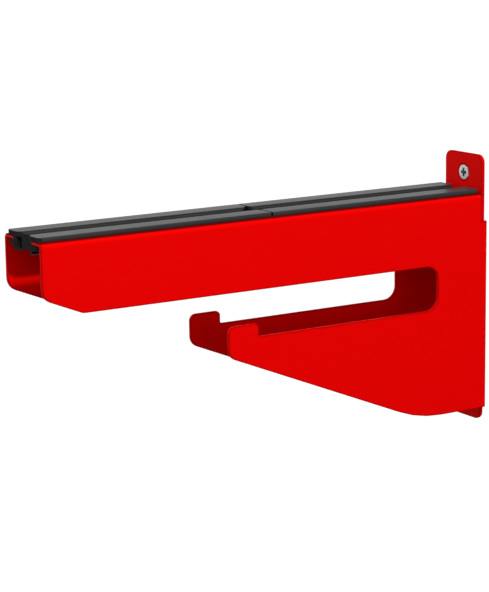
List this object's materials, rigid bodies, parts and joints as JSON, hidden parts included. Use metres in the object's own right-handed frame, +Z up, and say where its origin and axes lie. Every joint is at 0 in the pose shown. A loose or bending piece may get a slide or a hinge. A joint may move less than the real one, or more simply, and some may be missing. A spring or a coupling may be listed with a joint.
{
  "type": "wall-mounted ski rack",
  "caption": "Narrow U-shaped wall rack folded from red sheet steel, with rubber grips along its rails and hook arms below for poles.",
  "frame": {"origin": "the middle of the back plate's wall-side face", "axes": "+Y into the wall, +Z up, +X to the right wall of the rack as seen from in front"},
  "size_m": [0.05, 0.3465, 0.1826],
  "materials": {
    "red_powder_coat": "satin",
    "grip_rubber": "matte",
    "zinc_steel": "satin"
  },
  "bodies": {
    "root": {"folded_bracket": "red_powder_coat", "right_front_grip": "grip_rubber", "right_rear_grip": "grip_rubber", "left_front_grip": "grip_rubber", "left_rear_grip": "grip_rubber", "upper_wall_screw": "zinc_steel", "lower_wall_screw": "zinc_steel"}
  },
  "joints": []
}
